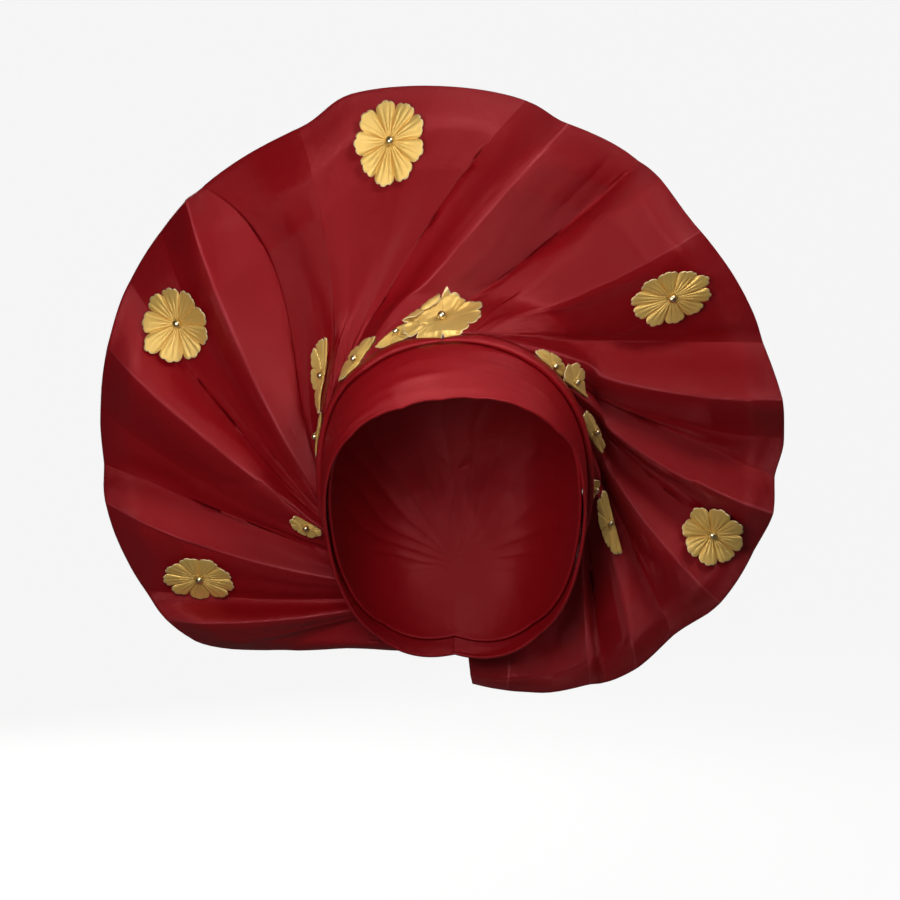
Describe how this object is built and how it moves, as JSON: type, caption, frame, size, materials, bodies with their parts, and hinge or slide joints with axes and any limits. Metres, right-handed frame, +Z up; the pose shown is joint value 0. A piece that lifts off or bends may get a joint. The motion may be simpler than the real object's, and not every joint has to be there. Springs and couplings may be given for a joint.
{
  "type": "tied gele head tie",
  "caption": "Head tie of stiff wine taffeta: a smooth forehead band below a large pleated fan that swirls round an open head hollow, with gold petal flowers and beads on the folds.",
  "frame": {"origin": "the inside of the crown, where the top of the head touches the cap", "axes": "+X to the right in the front view, the face and the front towards -Y, +Z up"},
  "size_m": [0.3778, 0.1957, 0.3362],
  "materials": {
    "wine_taffeta": "soft sheen",
    "gold_satin": "satin, embossed",
    "gold_bead": "polished"
  },
  "bodies": {
    "root": {"crown_cap": "wine_taffeta", "forehead_band": "wine_taffeta", "wrap_fold_left_front": "wine_taffeta", "wrap_fold_left_rear": "wine_taffeta", "wrap_fold_right_front": "wine_taffeta", "wrap_fold_right_rear": "wine_taffeta", "fan": "wine_taffeta", "nape_knot": "wine_taffeta", "flower_top": "gold_satin", "flower_left": "gold_satin", "flower_right": "gold_satin", "flower_lower_left": "gold_satin", "flower_lower_right": "gold_satin", "flower_temple_upper": "gold_satin", "flower_temple_lower": "gold_satin", "flower_brow_left": "gold_satin", "flower_brow_inner": "gold_satin", "flower_crown": "gold_satin", "flower_brow_right_inner": "gold_satin", "flower_brow_right": "gold_satin", "flower_temple_right": "gold_satin", "flower_ear_right": "gold_satin", "flower_ear_sliver": "gold_satin", "flower_ear_left": "gold_satin", "bead_top": "gold_bead", "bead_left": "gold_bead", "bead_right": "gold_bead", "bead_lower_left": "gold_bead", "bead_lower_right": "gold_bead", "bead_temple_upper": "gold_bead", "bead_temple_lower": "gold_bead", "bead_brow_left": "gold_bead", "bead_brow_inner": "gold_bead", "bead_crown": "gold_bead", "bead_brow_right_inner": "gold_bead", "bead_brow_right": "gold_bead", "bead_temple_right": "gold_bead", "bead_ear_right": "gold_bead", "bead_ear_sliver": "gold_bead", "bead_ear_left": "gold_bead"}
  },
  "joints": []
}
